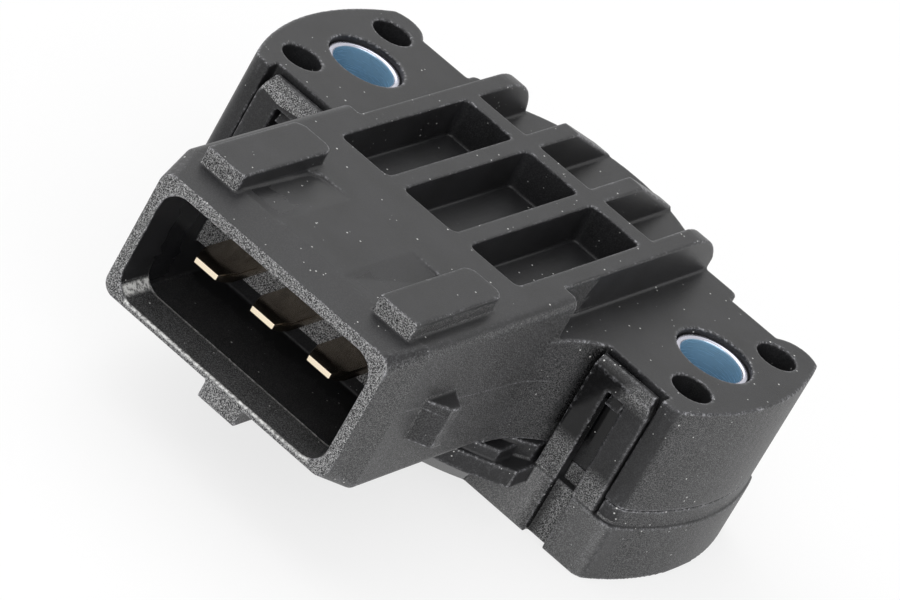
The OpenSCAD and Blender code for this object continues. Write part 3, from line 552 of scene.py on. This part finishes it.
def turned_sleeve(node, middle_x, material, body):
    """A sleeve's own skin: the closed section of radii r and heights z turned about its axis,
    points (x + r cos a, r sin a, z). Its end is sunk, with a rounded rim and a small chamfer.
    Point attribute "bore" is 1 on the bore."""
    profile = np.array(SLEEVE_SECTION_MM) * MM
    rows, steps = len(profile), SLEEVE_STEPS
    angle = np.linspace(0, 2 * math.pi, steps, endpoint=False)
    points = np.stack([middle_x + np.outer(profile[:, 0], np.cos(angle)),
                       np.outer(profile[:, 0], np.sin(angle)),
                       np.repeat(profile[:, 1:], steps, 1)], 2).reshape(-1, 3)
    row, step = np.meshgrid(np.arange(rows), np.arange(steps), indexing="ij")
    ahead, beside = (row + 1) % rows, (step + 1) % steps
    faces = np.stack([row * steps + step, ahead * steps + step, ahead * steps + beside,
                      row * steps + beside], 2).reshape(-1, 4)
    mesh = bpy.data.meshes.new(node + "_skin")
    mesh.from_pydata(points.tolist(), [], faces.tolist())
    mesh.polygons.foreach_set("use_smooth", np.ones(len(mesh.polygons), bool))
    mesh.materials.append(material)
    layer = mesh.attributes.new("bore", "FLOAT", "POINT")
    radius = np.hypot(points[:, 0] - middle_x, points[:, 1])
    layer.data.foreach_set("value", (radius < BORE_REACH).astype(np.float32))
    piece = bpy.data.objects.new(node + "_skin", mesh)
    bpy.context.scene.collection.objects.link(piece)
    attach(piece, body)
    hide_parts(node)


def paint(node, material):
    """Gives a CAD node its material."""
    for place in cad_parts[node].material_slots:
        place.material = material


def make_camera():
    """The camera on its ray from the aim, turned, raised and rolled by the photograph's angles."""
    turn, height, roll = (math.radians(v) for v in (CAMERA_TURN, CAMERA_HEIGHT, CAMERA_ROLL))
    away = Vector((math.sin(turn) * math.cos(height), -math.cos(turn) * math.cos(height),
                   math.sin(height)))
    right = Vector((math.cos(turn), math.sin(turn), 0))
    up = away.cross(right)
    right, up = (right * math.cos(roll) + up * math.sin(roll),
                 up * math.cos(roll) - right * math.sin(roll))
    camera = bpy.data.objects.new("camera", bpy.data.cameras.new("camera"))
    camera.data.sensor_width = SENSOR_WIDTH
    camera.data.lens = CAMERA_LENS
    camera.data.clip_start = 10 * MM
    camera.data.clip_end = 20.0
    camera.matrix_world = Matrix.Translation(CAMERA_AIM + away * CAMERA_DISTANCE) @ Matrix(
        (right, up, away)).transposed().to_4x4()
    bpy.context.scene.collection.objects.link(camera)
    bpy.context.scene.camera = camera


def make_lamp(name, place, side, watts):
    """A square soft box that faces the object."""
    lamp = bpy.data.lights.new(name, "AREA")
    lamp.shape = "SQUARE"
    lamp.size = side
    lamp.energy = watts
    box = bpy.data.objects.new(name, lamp)
    box.location = place
    box.rotation_euler = (Vector(place) - CAMERA_AIM).to_track_quat("Z", "Y").to_euler()
    bpy.context.scene.collection.objects.link(box)


def seen_ray(material, gloss=None):
    """1 where the camera, a reflection or a refraction looks, from the kinds of light path. A
    gloss output scales what reflections see."""
    path = add(material, "ShaderNodeLightPath")
    glossy = path.outputs["Is Glossy Ray"]
    if gloss is not None:
        glossy = add(material, "ShaderNodeMath", {"operation": "MULTIPLY"},
                     {0: glossy, 1: gloss}).outputs[0]
    both = add(material, "ShaderNodeMath", {"operation": "MAXIMUM"},
               {0: path.outputs["Is Camera Ray"], 1: glossy})
    return add(material, "ShaderNodeMath", {"operation": "MAXIMUM"},
               {0: both.outputs[0], 1: path.outputs["Is Transmission Ray"]})


def make_world(light_level):
    """White all round, and in reflections a little greyer overhead, as above a table."""
    world = bpy.data.worlds.new("studio")
    world.use_nodes = True
    world.node_tree.nodes.clear()
    bpy.context.scene.world = world
    output = add(world, "ShaderNodeOutputWorld")
    way = add(world, "ShaderNodeSeparateXYZ", {},
              {0: add(world, "ShaderNodeTexCoord").outputs["Generated"]})
    sky = add(world, "ShaderNodeMapRange",
              {"From Min": 0.1, "From Max": 0.45, "To Min": 1.0, "To Max": 0.8},
              {"Value": way.outputs["Z"]})
    seen = seen_ray(world, sky.outputs[0])
    level = add(world, "ShaderNodeMapRange", {"To Min": light_level, "To Max": 1.0},
                {"Value": seen.outputs[0]})
    light = add(world, "ShaderNodeBackground", {"Color": (1, 1, 1, 1)},
                {"Strength": level.outputs[0]})
    world.node_tree.links.new(light.outputs[0], output.inputs["Surface"])


def make_floor(radius, glow):
    """A round white table top; its glow for seen rays keeps it white and its shadows soft."""
    material, output = new_material("white_table")
    seen = seen_ray(material)
    share = add(material, "ShaderNodeMath", {"operation": "MULTIPLY", 1: glow},
                {0: seen.outputs[0]})
    paper = add(material, "ShaderNodeBsdfDiffuse", {"Color": srgb("#f4f4f4")})
    light = add(material, "ShaderNodeEmission", {"Color": (1, 1, 1, 1), "Strength": 1.0})
    mixed = add(material, "ShaderNodeMixShader", {},
                {0: share.outputs[0], 1: paper.outputs[0], 2: light.outputs[0]})
    finish_material(material, output, mixed)
    angles = np.linspace(0, 2 * math.pi, TABLE_SIDES, endpoint=False)
    points = np.stack([np.cos(angles) * radius, np.sin(angles) * radius, angles * 0], 1)
    mesh = bpy.data.meshes.new("table")
    mesh.from_pydata(points.tolist(), [], [list(range(TABLE_SIDES))])
    mesh.materials.append(material)
    table = bpy.data.objects.new("table", mesh)
    table.location.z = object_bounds()[0][2] - TABLE_GAP
    bpy.context.scene.collection.objects.link(table)
    table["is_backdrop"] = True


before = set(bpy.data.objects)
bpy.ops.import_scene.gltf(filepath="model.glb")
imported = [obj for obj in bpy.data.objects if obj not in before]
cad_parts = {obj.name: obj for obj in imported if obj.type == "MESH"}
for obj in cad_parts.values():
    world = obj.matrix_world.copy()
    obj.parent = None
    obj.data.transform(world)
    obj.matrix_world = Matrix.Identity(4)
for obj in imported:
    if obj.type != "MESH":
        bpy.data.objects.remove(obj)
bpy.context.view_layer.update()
bpy.context.scene.view_settings.view_transform = "Standard"

make_camera()
make_world(WORLD_LIGHT)
make_lamp("key", *KEY_LAMP)
make_lamp("fill", *FILL_LAMP)
make_floor(TABLE_RADIUS, TABLE_GLOW)

# The speck colour is for dust and for the painted glints
skin = glass_filled_polyamide("black_glass_filled_polyamide", body="#18181a", fibre="#d0d0d0",
                              edge="#a4a4a8", speck_and_glint="#dcdcda", roughness=0.4)
sleeve_steel = turned_steel("zinc_plated_steel", body="#8fb6cf", end="#c9c9d4", roughness=0.25)
# The pale colour on the blades' front faces is a painted highlight
blade_bronze = rolled_bronze("rolled_bronze", body="#b3a696", tip="#f4e6cc", roughness=0.24)
# Nitrile rubber, moulded: dull black
seal_rubber = plain_moulding("nitrile_rubber", "#18181a", roughness=0.7, grain_mm=0.1)
# Alumina, pressed and fired: matt, warm white
ceramic = plain_moulding("alumina_ceramic", "#e4dfd3", roughness=0.55, grain_mm=0.05)
# Carbon ink, screen printed: an even black, slightly glossy
carbon_ink = plain_moulding("carbon_track_ink", "#19191a", roughness=0.45, grain_mm=0.05)
# Silver ink, screen printed: a dull grey metal
silver_ink = plain_moulding("silver_ink", "#b9b8b2", roughness=0.35, grain_mm=0.05, metallic=1.0)
# Acetal, moulded: smooth dark grey
acetal = plain_moulding("acetal_rotor", "#37373b", roughness=0.38, grain_mm=0.3)
# Spring steel, stamped from strip: plain bright grey
spring_steel = plain_moulding("spring_steel", "#a9a9ab", roughness=0.3, grain_mm=0.06,
                              metallic=1.0)

moulded_skin("upper_housing", skin, UPPER_FINISH_AND_LIGHT, "housing")
moulded_skin("lower_housing", skin, LOWER_FINISH_AND_LIGHT, "housing")
turned_sleeve("left_sleeve", -SLEEVE_X, sleeve_steel, "housing")
turned_sleeve("right_sleeve", SLEEVE_X, sleeve_steel, "housing")
for side in ("left", "center", "right"):
    rounded_copy("terminal_" + side, BLADE_EDGE, blade_bronze, "housing")
    paint("contact_" + side, blade_bronze)
for node, material in {"housing_seal": seal_rubber, "shaft_seal": seal_rubber,
                       "track_board": ceramic, "resistor_track": carbon_ink,
                       "collector_track": carbon_ink, "conductor_traces": silver_ink,
                       "thrust_washer": spring_steel, "rotor": acetal, "wiper": blade_bronze,
                       "drive_clip": spring_steel}.items():
    paint(node, material)
